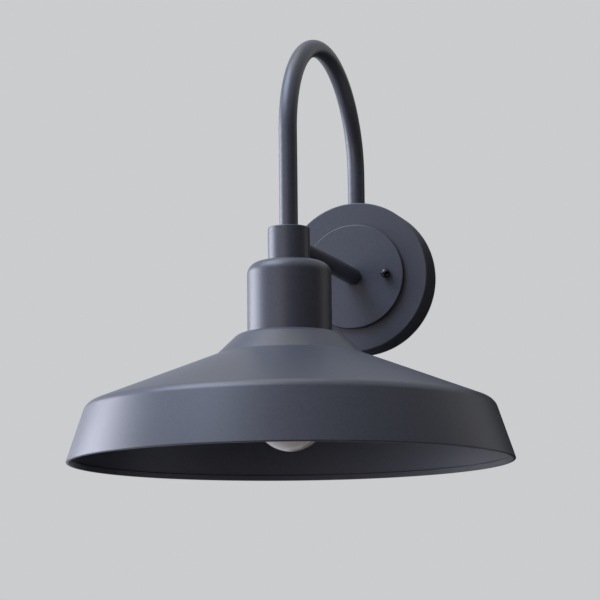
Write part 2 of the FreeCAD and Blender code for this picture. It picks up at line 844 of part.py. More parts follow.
# --- wiring ---------------------------------------------------------------------------------------------
def lead_route(side):
    """From a terminal up through the cup's nipple and along the strut to a wire connector."""
    x = side * lead_offset
    beside = side * (small_screw_radius + wire_radius + wire_gap)
    out = side * (terminal_floor + wire_radius + wire_gap)
    points = [
        from_lamp(beside, out, terminal_height - lead_tail),
        from_lamp(beside, out, holder_top - wire_radius + lead_swing),
        from_lamp(x, 0, cup_nipple_bottom + lead_entry - lead_swing),
        from_lamp(x, 0, 0),
        V(x, -lead_plane, 0),
        V(x, -lead_plane, -lead_drop),
        V(side * (connector_start + connector_grip), -lead_plane, -lead_drop),
    ]
    bends = {1: lead_swing_bend, 2: lead_swing_bend, 3: lead_hub_bend, 4: lead_wall_bend, 5: lead_side_bend}
    return points, bends


def lead(side):
    return swept(*lead_route(side), wire_radius)


def wire_connector(side):
    """The twist-on connector that joins one lead to the house wire."""
    bore = wire_radius + wire_gap
    outline = [
        (0, connector_start + connector_bore_depth),
        (bore, connector_start + connector_bore_depth),
        (bore, connector_start + connector_funnel),
        (connector_mouth_radius, connector_start),
        (connector_radius, connector_start),
        (connector_tip_radius, connector_start + connector_length),
        (0, connector_start + connector_length),
    ]
    return turned(outline, V(0, -lead_plane, -lead_drop), V(side, 0, 0), {5: connector_tip_round})


def ground_lug(place, hole, low):
    """A ring terminal at the given distance from the wall, with its tab towards -X."""
    high = low + lug_thickness
    edge = place.x - hole - lug_width
    half = lug_tab_width / 2
    tab = block((edge - lug_tab_length, place.x), (-high, -low), (-half, half))
    plate = rod(hole + lug_width, low, high, place, OUT).fuse(tab).removeSplitter()
    return plate.cut(rod(hole, low, high, place, OUT))


def fixture_ground_lug():
    return ground_lug(WALL_CENTRE, nipple_hole, strut_lug_back)


def bracket_ground_lug():
    return ground_lug(ground_screw_place(), ground_screw_radius + hole_gap, bracket_thickness)


def ground_route():
    """From the tab of the strut's lug round to the tab of the bracket's lug."""
    front = strut_lug_back - wire_radius
    back = bracket_thickness + lug_thickness + wire_radius
    start = -nipple_hole - lug_width - ground_wire_end_gap
    end = -ground_screw_offset - ground_screw_radius - ground_head_margin - ground_wire_end_gap
    points = [
        V(start, -front, 0),
        V(-ground_wire_side, -front, 0),
        V(-ground_wire_side, -back, 0),
        V(end, -back, 0),
    ]
    return points, {1: ground_wire_bend, 2: ground_wire_bend}


def ground_wire():
    return swept(*ground_route(), wire_radius)


def ground_screw():
    """The bracket's ground screw, with its lug under the head."""
    length = bracket_thickness + lug_thickness
    base = ground_screw_place() + OUT * length
    head = ground_screw_radius + ground_head_margin
    return screw(ground_screw_radius, length, head, ground_head_height, base, OUT, ground_head_round)


# --- the whole sconce -----------------------------------------------------------------------------------
def all_parts():
    parts = {
        "wall_gasket": wall_gasket(),
        "mounting_bracket": mounting_bracket(),
        "mounting_studs": both_sides(mounting_stud),
        "stud_nuts": both_sides(stud_nut),
        "cap_nuts": both_sides(cap_nut),
        "backplate": backplate(),
        "gooseneck_tube": gooseneck_tube(),
        "strut_tube": strut_tube(),
        "hub": hub(),
        "socket_cup": socket_cup(),
        "shade": shade(),
        "shade_gasket": shade_gasket(),
        "shade_ring": shade_ring(),
        "saddle_bracket": saddle_bracket(),
        "saddle_screws": both_sides(saddle_screw),
        "lampholder_body": lampholder_body(),
        "lampholder_shell": lampholder_shell(),
        "centre_contact": centre_contact(),
        "contact_screw": contact_screw(),
        "terminal_screws": both_sides(terminal_screw),
        "bulb_glass": bulb_glass(),
        "bulb_cap": bulb_cap(),
        "cap_cement": cap_cement(),
        "bulb_insulator": bulb_insulator(),
        "bulb_contact": bulb_contact(),
        "bulb_stem": bulb_stem(),
        "filament_wires": both_sides(filament_wire),
        "filament": filament(),
        "black_lead": lead(1),
        "white_lead": lead(-1),
        "wire_connectors": both_sides(wire_connector),
        "fixture_ground_lug": fixture_ground_lug(),
        "bracket_ground_lug": bracket_ground_lug(),
        "ground_wire": ground_wire(),
        "ground_screw": ground_screw(),
    }
    parts.update(tube_fittings())
    return parts


def print_wire(name, shape, route):
    """A wire's length and bends, and its volume against its section times its length."""
    points, bends = route
    length = Part.Wire(rounded_edges(points, bends, False)).Length
    ratio = shape.Volume / (math.pi * wire_radius**2 * length)
    print(f"{name}: {length:.1f} mm long, bends {sorted(bends.values())}, volume ratio {ratio:.4f}")


def main():
    os.makedirs("parts", exist_ok=True)
    parts = all_parts()
    for name, shape in sorted(parts.items()):
        solids = shape.Solids
        sound = shape.isValid() and all(solid.isClosed() and solid.Volume > 0 for solid in solids)
        print(f"{name}: {len(solids)} solid, {shape.Volume:.1f} mm3, {'sound' if sound else 'NOT SOUND'}")
        result = solids[0] if len(solids) == 1 else Part.makeCompound(solids)
        result.exportStep(f"parts/{name}.step")
    print_wire("black_lead", parts["black_lead"], lead_route(1))
    print_wire("white_lead", parts["white_lead"], lead_route(-1))
    print_wire("ground_wire", parts["ground_wire"], ground_route())


main()
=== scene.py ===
# %% [markdown]
# # A gooseneck wall sconce
# The real lamp is steel. A wide spun shade hangs under a drawn socket cup, and two tubes hold them off the
# wall: a long one that goes up, over and down like a goose's neck, and a short straight strut. Threaded
# nipples join everything, so no weld shows, and one satin black powder coat covers all that is seen.
# The CAD model has every piece in its place, in metres, with the wall at y = 0 and Z up. This script loads
# it and then gives each piece the form and the finish that the eye expects.

# %% Load the CAD model
import math

import bmesh
import bpy
from mathutils import Matrix, Vector


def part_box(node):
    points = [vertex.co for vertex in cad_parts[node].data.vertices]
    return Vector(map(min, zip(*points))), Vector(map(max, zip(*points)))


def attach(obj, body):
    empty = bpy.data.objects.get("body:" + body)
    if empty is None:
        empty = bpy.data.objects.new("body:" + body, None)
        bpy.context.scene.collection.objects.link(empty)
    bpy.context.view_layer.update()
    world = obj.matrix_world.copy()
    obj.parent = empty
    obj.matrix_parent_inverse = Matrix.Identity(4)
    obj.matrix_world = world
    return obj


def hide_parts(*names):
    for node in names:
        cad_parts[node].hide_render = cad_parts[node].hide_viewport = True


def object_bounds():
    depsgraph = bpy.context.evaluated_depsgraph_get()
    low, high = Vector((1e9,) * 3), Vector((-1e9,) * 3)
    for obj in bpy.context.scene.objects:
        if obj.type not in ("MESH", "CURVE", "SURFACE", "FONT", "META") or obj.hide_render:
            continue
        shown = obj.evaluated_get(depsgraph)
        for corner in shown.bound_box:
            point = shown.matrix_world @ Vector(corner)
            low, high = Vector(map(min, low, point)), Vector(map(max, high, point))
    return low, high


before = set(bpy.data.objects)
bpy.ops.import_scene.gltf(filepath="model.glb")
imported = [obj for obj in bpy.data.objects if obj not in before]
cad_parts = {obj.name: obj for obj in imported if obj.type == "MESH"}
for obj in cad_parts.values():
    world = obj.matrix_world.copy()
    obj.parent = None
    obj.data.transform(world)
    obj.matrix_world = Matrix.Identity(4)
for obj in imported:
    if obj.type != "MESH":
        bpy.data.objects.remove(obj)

cad_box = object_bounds()
print("CAD box", [[round(c, 4) for c in corner] for corner in cad_box])

# %% [markdown]
# ## Measure first
# A new piece has to stand exactly where its CAD piece stands, so its main sizes are read from the model.
# Drawings of turned and bent metal are in millimetres, so everything here is drawn in millimetres and made
# metres when it is finished.

# %% Measures
MM = 0.001


def span(node, axis):
    """The low and the high side of a CAD piece along one axis, in millimetres."""
    lowest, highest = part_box(node)
    k = "xyz".index(axis)
    return round(lowest[k] / MM, 2), round(highest[k] / MM, 2)


lamp_y = sum(span("socket_cup", "y")) / 2
upright = Matrix.Translation((0, lamp_y * MM, 0))
outward = Matrix.Rotation(math.radians(90), 4, "X")
in_place = Matrix.Identity(4)
print("lamp axis at y =", lamp_y, "mm")

# %% [markdown]
# ## The camera
# The photograph was taken from below and from the left, with a long lens. The camera's place, lens and turn
# were found by matching the rim of the shade, the tubes and the backplate to the picture.

# %% Camera
camera_data = bpy.data.cameras.new("camera")
camera_data.lens, camera_data.sensor_width = 121.85, 36
camera = bpy.data.objects.new("camera", camera_data)
bpy.context.scene.collection.objects.link(camera)
bpy.context.scene.camera = camera
camera_place = Matrix.Translation((0.543396, -1.714176, -0.318668))
for angle, axis in ((19.44, "Z"), (90 + 9.585, "X"), (-0.605, "Z")):
    camera_place @= Matrix.Rotation(math.radians(angle), 4, axis)
camera.matrix_world = camera_place
print("lens", camera_data.lens, "mm")

# %% [markdown]
# ## Colours and nodes
# A picked colour is sRGB, but a shader adds up light and so needs linear numbers. Each material below is a
# small tree of nodes, and one helper adds a node with its settings and its links.

# %% Colour and node helpers
def colour(code):
    """The linear colour, with alpha, of an sRGB hex code."""
    parts = [int(code[k : k + 2], 16) / 255 for k in (1, 3, 5)]
    return [c / 12.92 if c <= 0.04045 else ((c + 0.055) / 1.055) ** 2.4 for c in parts] + [1]


def add(tree, kind, inputs=None, **settings):
    """Adds a node, sets it up, and gives its inputs values or links."""
    node = tree.nodes.new(kind)
    for name, value in settings.items():
        setattr(node, name, value)
    for name, value in (inputs or {}).items():
        if isinstance(value, bpy.types.NodeSocket):
            tree.links.new(value, node.inputs[name])
        else:
            node.inputs[name].default_value = value
    return node


def empty_tree(owner):
    """Turns an owner's nodes on and clears them."""
    owner.use_nodes = True
    owner.node_tree.nodes.clear()
    return owner.node_tree


# %% [markdown]
# ## The studio
# The lamp hangs in a plain pale room. The camera, mirrors and glass see one pale backdrop, while matt
# surfaces get a weaker fill, so the background never lights the object. Light Path tells the rays apart.

# %% Backdrop
backdrop_colour = colour("#cbccce")
fill_colour = colour("#e6d8c8")
fill_strength = 0.25


def straight_rays(tree):
    """1 for a ray from the camera, a mirror or glass, and 0 for the light that a matt surface gathers."""
    rays = add(tree, "ShaderNodeLightPath").outputs
    either = add(tree, "ShaderNodeMath", {0: rays["Is Camera Ray"], 1: rays["Is Glossy Ray"]}, operation="MAXIMUM")
    any_of = {0: either.outputs[0], 1: rays["Is Transmission Ray"]}
    return add(tree, "ShaderNodeMath", any_of, operation="MAXIMUM").outputs[0]


world = bpy.data.worlds.new("studio")
bpy.context.scene.world = world
tree = empty_tree(world)
fill = add(tree, "ShaderNodeBackground", {"Color": fill_colour, "Strength": fill_strength})
pale = add(tree, "ShaderNodeBackground", {"Color": backdrop_colour, "Strength": 1})
either = add(tree, "ShaderNodeMixShader", {"Fac": straight_rays(tree), 1: fill.outputs[0], 2: pale.outputs[0]})
add(tree, "ShaderNodeOutputWorld", {"Surface": either.outputs[0]})
bpy.context.scene.view_settings.view_transform = "Standard"
print("fill", fill_strength)

# %% [markdown]
# The floor takes the lamp's shadow close by and fades into the backdrop further out, so no edge shows. It is
# clear from below, for the views that look up, and grey for the light that matt surfaces gather, so that it
# throws only a little light up into the shade and onto the bulb.

# %% Floor
floor_height = -0.42
floor_reach = 3.0
fade_from, fade_to = 0.5, 1.5
bm = bmesh.new()
bmesh.ops.create_grid(bm, size=floor_reach, matrix=Matrix.Translation((0, lamp_y * MM, floor_height)))
mesh = bpy.data.meshes.new("floor")
bm.to_mesh(mesh)
bm.free()
floor = bpy.data.objects.new("floor", mesh)
bpy.context.scene.collection.objects.link(floor)
floor_paint = bpy.data.materials.new("matt_floor_paint")
tree = empty_tree(floor_paint)
place = add(tree, "ShaderNodeTexCoord").outputs["Object"]
foot = (0, lamp_y * MM, floor_height)
far = add(tree, "ShaderNodeVectorMath", {0: place, 1: foot}, operation="DISTANCE").outputs["Value"]
fade = {"Value": far, "From Min": fade_from, "From Max": fade_to}
fade = add(tree, "ShaderNodeMapRange", fade, interpolation_type="SMOOTHSTEP").outputs["Result"]
paint = add(tree, "ShaderNodeBsdfDiffuse", {"Color": backdrop_colour})
pale = add(tree, "ShaderNodeEmission", {"Color": backdrop_colour, "Strength": 1})
shown = add(tree, "ShaderNodeMixShader", {"Fac": fade, 1: paint.outputs[0], 2: pale.outputs[0]})
grey = add(tree, "ShaderNodeBsdfDiffuse", {"Color": colour("#76706a")})
seen = add(tree, "ShaderNodeMixShader", {"Fac": straight_rays(tree), 1: grey.outputs[0], 2: shown.outputs[0]})
below = add(tree, "ShaderNodeNewGeometry").outputs["Backfacing"]
clear = add(tree, "ShaderNodeBsdfTransparent")
sides = add(tree, "ShaderNodeMixShader", {"Fac": below, 1: seen.outputs[0], 2: clear.outputs[0]})
add(tree, "ShaderNodeOutputMaterial", {"Surface": sides.outputs[0]})
mesh.materials.append(floor_paint)
print("floor at z =", floor_height)

# %% [markdown]
# A tall soft light stands to the left, as a window would, and gives the lamp its bright left edges. A cool
# one hangs above it to the front, a small warm one overhead, and a low warm one in front stands for the light
# that a floor throws back. Three black cards, on the right, below and behind, are dark sheets that only
# reflections see. They put painted shade into the satin coat's reflections where the pale room would show, as
# photographers do to give dark metal its shape.

# %% Lights and cards
middle = (cad_box[0] + cad_box[1]) / 2


def aimed(obj, azimuth, elevation, distance):
    """Stands an object round the lamp, facing it. Azimuth 0 is in front of the wall and 90 to its right."""
    a, e = math.radians(azimuth), math.radians(elevation)
    back = Vector((math.sin(a) * math.cos(e), -math.cos(a) * math.cos(e), math.sin(e)))
    turned_to = (-back).to_track_quat("-Z", "Y").to_matrix().to_4x4()
    obj.matrix_world = Matrix.Translation(middle + back * distance) @ turned_to
    bpy.context.scene.collection.objects.link(obj)


def softbox(name, azimuth, elevation, distance, size, watts, tint):
    """A large rectangular light that the camera doesn't see."""
    data = bpy.data.lights.new(name, "AREA")
    data.shape, data.size, data.size_y = "RECTANGLE", *size
    data.energy, data.color = watts, colour(tint)[:3]
    light = bpy.data.objects.new(name, data)
    light.visible_camera = False
    aimed(light, azimuth, elevation, distance)
    print(name, watts, "W")


def black_card(name, azimuth, elevation, distance, size):
    """A black card that only reflections see: a dark sheet that puts painted shade into them."""
    bm = bmesh.new()
    bmesh.ops.create_grid(bm, size=0.5, matrix=Matrix.Diagonal((*size, 1, 1)))
    mesh = bpy.data.meshes.new(name)
    bm.to_mesh(mesh)
    bm.free()
    material = bpy.data.materials.new("black_card")
    tree = empty_tree(material)
    felt = add(tree, "ShaderNodeBsdfDiffuse", {"Color": colour("#0c0c0c")})
    add(tree, "ShaderNodeOutputMaterial", {"Surface": felt.outputs[0]})
    mesh.materials.append(material)
    card = bpy.data.objects.new(name, mesh)
    card.visible_camera = card.visible_diffuse = card.visible_shadow = False
    aimed(card, azimuth, elevation, distance)


softbox("window", -90, -6, 2, (1.6, 2.1), 92, "#ecefff")
softbox("sky", -48, 55, 2, (1.7, 1.2), 52, "#d6e4ff")
softbox("overhead", -110, 80, 2, (1.2, 1.2), 8, "#fff3d0")
softbox("bounce", -10, -20, 2, (1.2, 1.2), 28, "#ffebe4")
black_card("right_card", 60, -20, 1.2, (4, 3.6))
black_card("lower_card", 20, -80, 0.45, (1.8, 1.8))
# The back card is painted shade for the reflections. It stands in for the wall's shadow behind the backplate.
black_card("back_card", 168, -15, 0.45, (0.5, 0.7))

# %% [markdown]
# ## Powder coat
# Nearly every surface is steel with a polyester powder coat. The powder is sprayed dry and melts in an oven,
# so it levels like honey and keeps a faint orange peel, a few micrometres high and about two millimetres
# across. That breaks up reflections and gives the satin look: no mirror image, only broad soft highlights.

# %% Powder coat
def patterned(name, codes, grain, relief, roughness, stretch=(1, 1, 1), **sockets):
    """A material with one noise on Object coordinates in its colour, its roughness and its relief. Grain and
    relief are the pattern's width and height in millimetres."""
    material = bpy.data.materials.new(name)
    tree = empty_tree(material)
    place = add(tree, "ShaderNodeTexCoord").outputs["Object"]
    place = add(tree, "ShaderNodeMapping", {"Vector": place, "Scale": stretch}).outputs["Vector"]
    noise = {"Vector": place, "Scale": 1 / (grain * MM), "Detail": 3}
    noise = add(tree, "ShaderNodeTexNoise", noise).outputs["Fac"]
    spread = {"Value": noise, "From Min": 0.3, "From Max": 0.7}
    even = add(tree, "ShaderNodeMapRange", spread).outputs["Result"]
    tint = {"Factor": even, 6: colour(codes[0]), 7: colour(codes[1])}
    tint = add(tree, "ShaderNodeMix", tint, data_type="RGBA").outputs[2]
    spread = {"Value": even, "To Min": roughness[0], "To Max": roughness[1]}
    rough = add(tree, "ShaderNodeMapRange", spread).outputs["Result"]
    bump = add(tree, "ShaderNodeBump", {"Height": noise, "Distance": relief * MM}).outputs["Normal"]
    looks = {"Base Color": tint, "Roughness": rough, "Normal": bump}
    looks |= {key.replace("_", " "): value for key, value in sockets.items()}
    shader = add(tree, "ShaderNodeBsdfPrincipled", looks)
    add(tree, "ShaderNodeOutputMaterial", {"Surface": shader.outputs[0]})
    return material


powder_coat = patterned("satin_powder_coat", ("#3e424d", "#444854"), 2.2, 0.03, (0.38, 0.44))
print("powder coat peel 2.2 mm")

# %% [markdown]
# ## Bare and plated metal
# Small steel parts are zinc plated in a barrel: bright, faintly blue, and cloudy where they rubbed together.
# Green dye on the zinc marks the ground screw. Contacts are brass because it springs and resists arcs, the
# bulb's cap is brass with nickel on it, and the lugs are copper under soft grey tin.

# %% Metals
zinc = patterned("barrel_plated_zinc", ("#b4b9bf", "#cfd3d6"), 4, 0.004, (0.24, 0.38), Metallic=1)
green_zinc = patterned("green_dyed_zinc", ("#2f8a52", "#3fa565"), 3, 0.004, (0.3, 0.42), Metallic=0.9)
brass = patterned("rolled_brass", ("#c79a4e", "#dcb468"), 5, 0.004, (0.22, 0.36), (1, 1, 6), Metallic=1)
nickel = patterned("nickel_plated_brass", ("#c5c1b8", "#d8d5cd"), 3, 0.004, (0.2, 0.32), Metallic=1)
tin = patterned("tinned_copper", ("#b9b5ad", "#cbc8c1"), 1.5, 0.006, (0.34, 0.48), Metallic=1)
solder = patterned("lead_free_solder", ("#b3b3b0", "#cfcfcb"), 1.2, 0.03, (0.25, 0.4), Metallic=1)
tungsten = patterned("drawn_tungsten", ("#6f6b66", "#8d8984"), 0.4, 0.002, (0.35, 0.5), (1, 6, 6), Metallic=1)
enamel = patterned("gloss_black_enamel", ("#0d0e10", "#121316"), 3, 0.006, (0.12, 0.18))

# %% [markdown]
# ## Plastic, rubber, clay and glass
# Moulded plastics and rubber copy the fine texture of their mould. Porcelain is fired clay under a glaze, so
# it is white below a clear gloss, and a coat on the shader gives both. Foam is all small dark cells.

# %% Other finishes
foam = patterned("closed_cell_foam", ("#17181a", "#2b2c2f"), 0.9, 0.25, (0.8, 0.95))
silicone = patterned("moulded_silicone", ("#b9b4ab", "#c6c2ba"), 1.5, 0.01, (0.5, 0.62))
phenolic = patterned("moulded_phenolic", ("#262320", "#322d29"), 1.2, 0.01, (0.3, 0.42))
porcelain = patterned(
    "glazed_porcelain", ("#e2dfd8", "#ebe9e4"), 14, 0.08, (0.35, 0.45), Coat_Weight=1, Coat_Roughness=0.06
)
cement = patterned("lamp_cement", ("#b3a284", "#cdbf9f"), 0.8, 0.12, (0.85, 0.95))
black_glass = patterned("pressed_black_glass", ("#16161a", "#1f1f24"), 3, 0.02, (0.08, 0.14))
black_vinyl = patterned("black_vinyl_insulation", ("#131313", "#1d1d1d"), 1, 0.006, (0.36, 0.46))
white_vinyl = patterned("white_vinyl_insulation", ("#d9d8d2", "#e6e5e0"), 1, 0.006, (0.36, 0.46))
green_vinyl = patterned("green_vinyl_insulation", ("#2d7f4c", "#37915a"), 1, 0.006, (0.36, 0.46))
orange_plastic = patterned("moulded_polypropylene", ("#d97a25", "#e48a35"), 1.4, 0.012, (0.34, 0.44))
print("finishes", len(bpy.data.materials))

# %% [markdown]
# ## Etched glass
# The bulb is blown clear glass, etched with acid inside and dusted with white silica, so that the light
# comes from the whole ball. From outside it looks like milk under a thin clear gloss: the body scatters, and
# the smooth outer face still mirrors the room. The stem inside is plain clear glass.

# %% Glass
etched_glass = patterned(
    "etched_bulb_glass",
    ("#e9e7e0", "#f2f0ea"),
    0.5,
    0.004,
    (0.4, 0.5),
    Sheen_Weight=0.6,
    Sheen_Roughness=0.3,
    Coat_Weight=1,
    Coat_Roughness=0.04,
    IOR=1.5,
)
clear_glass = patterned(
    "clear_stem_glass", ("#f2f5f4", "#ffffff"), 6, 0.01, (0.01, 0.03), Transmission_Weight=1, IOR=1.5
)

# %% [markdown]
# ## Turning
# Most of the lamp was made on a lathe or a spinning chuck. Blender has the same tool: an outline of edges is
# spun round an axis. The corners of the outline come first, and a bevel on a corner point gives its round.

# %% Outline and turning
arc_step = 9  # degrees of turn for each piece of a round


def outline(corners, closed):
    """Edges through (across, up) corners. A third number rounds a corner to that radius."""
    bm = bmesh.new()
    verts = [bm.verts.new((corner[0], 0, corner[1])) for corner in corners]
    for here, there in zip(verts, verts[1:] + verts[:1] if closed else verts[1:]):
        bm.edges.new((here, there))
    points = [Vector(corner[:2]) for corner in corners]
    for k, corner in enumerate(corners):
        if len(corner) < 3:
            continue
        back, ahead = points[k - 1] - points[k], points[(k + 1) % len(points)] - points[k]
        corner_angle = back.angle(ahead)
        bmesh.ops.bevel(
            bm,
            geom=[verts[k]],
            offset=corner[2] / math.tan(corner_angle / 2),
            offset_type="OFFSET",
            segments=max(2, round((180 - math.degrees(corner_angle)) / arc_step)),
            profile=0.5,
            affect="VERTICES",
            material=-1,
        )
    return bm


def spun(bm, steps):
    """A wire spun once round Z, welded, with its faces turned outwards."""
    whole = {"geom": bm.verts[:] + bm.edges[:], "cent": (0, 0, 0), "axis": (0, 0, 1), "angle": 2 * math.pi}
    bmesh.ops.spin(bm, **whole, steps=steps, use_merge=True, use_duplicate=False)
    bmesh.ops.remove_doubles(bm, verts=bm.verts, dist=1e-4)
    bmesh.ops.recalc_face_normals(bm, faces=bm.faces)
    return bm


def turned(corners, steps=72):
    """A turned solid. An outline that starts on the axis also ends there, and any other is a ring's section."""
    return spun(outline(corners, corners[0][0] > 0), steps)


# %% [markdown]
# ## Cutting and joining
# A drill, a file or a second part is a Boolean: one closed mesh taken from another, added to it, or kept
# only where both are. The modifier does it, and the evaluated mesh is what comes back.

# %% Cutting helper
def carve(body, tool, operation="DIFFERENCE"):
    """The body less the tool, or the two joined, or what they share."""
    pair = []
    for bm in (body, tool):
        mesh = bpy.data.meshes.new("carving")
        bm.to_mesh(mesh)
        bm.free()
        pair.append(bpy.data.objects.new("carving", mesh))
        bpy.context.scene.collection.objects.link(pair[-1])
    cut = pair[0].modifiers.new("cut", "BOOLEAN")
    cut.operation, cut.solver, cut.object = operation, "EXACT", pair[1]
    result = bmesh.new()
    result.from_object(pair[0], bpy.context.evaluated_depsgraph_get())
    for mesh in [obj.data for obj in pair]:
        bpy.data.meshes.remove(mesh)
    return result


def moved(bm, matrix):
    bm.transform(matrix)
    return bm


def joined(*parts):
    """Several bmeshes in one."""
    whole = bmesh.new()
    for bm in parts:
        mesh = bpy.data.meshes.new("part")
        bm.to_mesh(mesh)
        bm.free()
        whole.from_mesh(mesh)
        bpy.data.meshes.remove(mesh)
    return whole


def block(x, y, z):
    """A box between two values on each axis."""
    bm = bmesh.new()
    size = Matrix.Diagonal((x[1] - x[0], y[1] - y[0], z[1] - z[0], 1))
    place = Matrix.Translation((sum(x) / 2, sum(y) / 2, sum(z) / 2))
    bmesh.ops.create_cube(bm, size=1, matrix=place @ size)
    return bm


def rod(radius, low, high, matrix=in_place):
    return moved(turned([(0, low), (radius, low), (radius, high), (0, high)], 48), matrix)


def pair_of(bm, matrix):
    """A mesh and its copy at the other side."""
    return joined(bm.copy(), moved(bm, matrix))


# %% [markdown]
# ## Finishing a piece
# A piece is drawn in millimetres about its own axis, then scaled, stood in place, shaded smooth with its
# real edges kept sharp, and tied to the CAD body that it moves with. A weighted normal keeps flats flat.

# %% Finishing helper
sharp_angle = 34


def piece(bm, name, material, nodes, place=outward, body="root"):
    bm.transform(place @ Matrix.Scale(MM, 4))
    mesh = bpy.data.meshes.new(name)
    bm.to_mesh(mesh)
    bm.free()
    mesh.shade_smooth()
    mesh.set_sharp_from_angle(angle=math.radians(sharp_angle))
    mesh.materials.append(material)
    obj = bpy.data.objects.new(name, mesh)
    bpy.context.scene.collection.objects.link(obj)
    obj.modifiers.new("even_normals", "WEIGHTED_NORMAL").keep_sharp = True
    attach(obj, body)
    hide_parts(*nodes)
    print(name, len(mesh.polygons), "faces")
    return obj


# %% [markdown]
# ## The spun shade
# A disc of steel is pressed over a turning form with a roller, so the shade is one sheet with soft bends:
# a flat top, a steep crown, a wide shallow cone and a flared skirt. The rim is folded in for stiffness. The
# outside is drawn as corners, and each inside corner sits on its own mitre, one sheet thickness in.

# %% Shade
def inside_of(corners, thickness):
    """The corners of a bent sheet's inside, from those of its outside, which run down and outwards."""
    points = [Vector(corner[:2]) for corner in corners]
    runs = [(there - here).normalized() for here, there in zip(points, points[1:])]
    inside = []
    for k, corner in enumerate(corners):
        arrive, leave = runs[max(k - 1, 0)], runs[min(k, len(runs) - 1)]
        inward = Vector((arrive.y, -arrive.x))
        mitre = (inward + Vector((leave.y, -leave.x))).normalized()
        point = points[k] + mitre * (thickness / mitre.dot(inward))
        turn = math.copysign(thickness, arrive.cross(leave))
        inside.append((*point, *(radius + turn for radius in corner[2:])))
    return inside


shade_top = span("shade", "z")[1]
shade_radius = span("shade", "x")[1]
cup_radius = span("socket_cup", "x")[1]
shade_hole = 20.55
sheet = 1.2
neck_radius = cup_radius + 7.2
crown_foot = (59.3, shade_top - 17.5, 0.8)
shoulder = (shade_radius - 15, shade_top - 57.8, 9.5)
rim = (shade_radius, shade_top - 103.2)
hem_height, hem_thickness, hem_round = 5.0, 2.2, 0.9
outside = [(shade_hole, shade_top), (neck_radius, shade_top, 10.5), crown_foot, shoulder, rim]
inside = inside_of(outside, sheet)
skirt = (Vector(outside[4]) - Vector(outside[3][:2])).normalized()
inward = Vector((skirt.y, -skirt.x))
hem_top = Vector(outside[4]) - skirt * hem_height
hem = [
    (*(Vector(outside[4]) + inward * hem_thickness), hem_round),
    (*(hem_top + inward * hem_thickness), 0.4),
    (*(hem_top + inward * sheet),),
]
shade_section = outside[:4] + [(*outside[4], hem_round)] + hem + inside[3::-1]
piece(turned(shade_section, 160), "spun_shade", powder_coat, ["shade"], upright)

# %% [markdown]
# ## The drawn cup and the turned hub
# The cup is pressed deep from one blank, which leaves a generous round at the top. The hub is cut from bar:
# the gooseneck drops into a shallow seat on its top, the strut into another on its side, and the leads go
# through it. So it is turned first and drilled after.

# %% Cup and hub
cup_bottom, cup_top = span("socket_cup", "z")
nipple_hole = 5.2
cup_section = [(nipple_hole, cup_top), (cup_radius, cup_top, 10), (cup_radius, cup_bottom)]
cup_inside = inside_of(cup_section, sheet)
cup_lip = [(*cup_section[2], 0.4), (*cup_inside[2], 0.4)]
cup_section = cup_section[:2] + cup_lip + cup_inside[1::-1]
piece(turned(cup_section, 96), "drawn_cup", powder_coat, ["socket_cup"], upright)

hub_bottom, hub_top = span("hub", "z")
hub_radius = span("hub", "x")[1]
tube_radius = span("strut_tube", "x")[1]
tube_seat = tube_radius + 0.1
strut_hub = span("strut_tube", "y")[0] - lamp_y
neck_start = span("gooseneck_tube", "z")[0]
nipple_thread = 5.05
hub_body = turned([(0, hub_bottom), (hub_radius, hub_bottom, 0.4), (hub_radius, hub_top, 1), (0, hub_top)], 96)
to_wall = Matrix.Rotation(math.radians(-90), 4, "X")
for drill in (
    rod(tube_seat, neck_start, hub_top + 1),
    rod(tube_seat, strut_hub, hub_radius + 1, to_wall),
    rod(nipple_thread, hub_bottom - 1, hub_top),
    rod(nipple_thread, 0, strut_hub + 1, to_wall),
):
    hub_body = carve(hub_body, drill)
piece(hub_body, "turned_hub", powder_coat, ["hub"], upright)

# %% [markdown]
# ## The two tubes
# Both are drawn steel tube. The gooseneck is bent hot round a wheel, straight up from the hub, over in a
# half circle and straight down to the top of the backplate's rim, where its end is coped to the rim's curve.
# A circle is pushed up, spun half a turn and pushed down again, and each end point then drops onto the rim.

# %% Gooseneck and strut
tube_wall = 1.2
pan_radius = span("backplate", "x")[1]
leg_y = span("gooseneck_tube", "y")[1] - tube_radius
bend_radius = (leg_y - lamp_y) / 2
bend_height = span("gooseneck_tube", "z")[1] - tube_radius - bend_radius
tube_facets, bend_steps = 56, 72


def open_end(result, key="geom"):
    """The edges and points that an extrude or a spin has just made."""
    return [part for part in result[key] if not isinstance(part, bmesh.types.BMFace)]


bm = bmesh.new()
start = Matrix.Translation((0, lamp_y, neck_start))
bmesh.ops.create_circle(bm, segments=tube_facets, radius=tube_radius, matrix=start)
end = open_end(bmesh.ops.extrude_edge_only(bm, edges=bm.edges[:]))
rise = (0, 0, bend_height - neck_start)
bmesh.ops.translate(bm, verts=[v for v in end if isinstance(v, bmesh.types.BMVert)], vec=rise)
wheel = {"cent": (0, lamp_y + bend_radius, bend_height), "axis": (-1, 0, 0), "angle": math.pi}
end = open_end(bmesh.ops.spin(bm, geom=end, **wheel, steps=bend_steps, use_duplicate=False), "geom_last")
end = open_end(bmesh.ops.extrude_edge_only(bm, edges=[e for e in end if isinstance(e, bmesh.types.BMEdge)]))
for v in end:
    if isinstance(v, bmesh.types.BMVert):
        v.co.z = math.sqrt(pan_radius**2 - v.co.x**2)
bmesh.ops.remove_doubles(bm, verts=bm.verts, dist=1e-4)
bmesh.ops.recalc_face_normals(bm, faces=bm.faces)
bmesh.ops.solidify(bm, geom=bm.faces[:], thickness=tube_wall)
piece(bm, "bent_gooseneck", powder_coat, ["gooseneck_tube"], in_place)

strut_ends = sorted(-y for y in span("strut_tube", "y"))
bore = tube_radius - tube_wall
strut_section = [(bore, strut_ends[0]), (tube_radius, strut_ends[0]), (tube_radius, strut_ends[1]), (bore, strut_ends[1])]
piece(turned(strut_section), "straight_strut", powder_coat, ["strut_tube"])

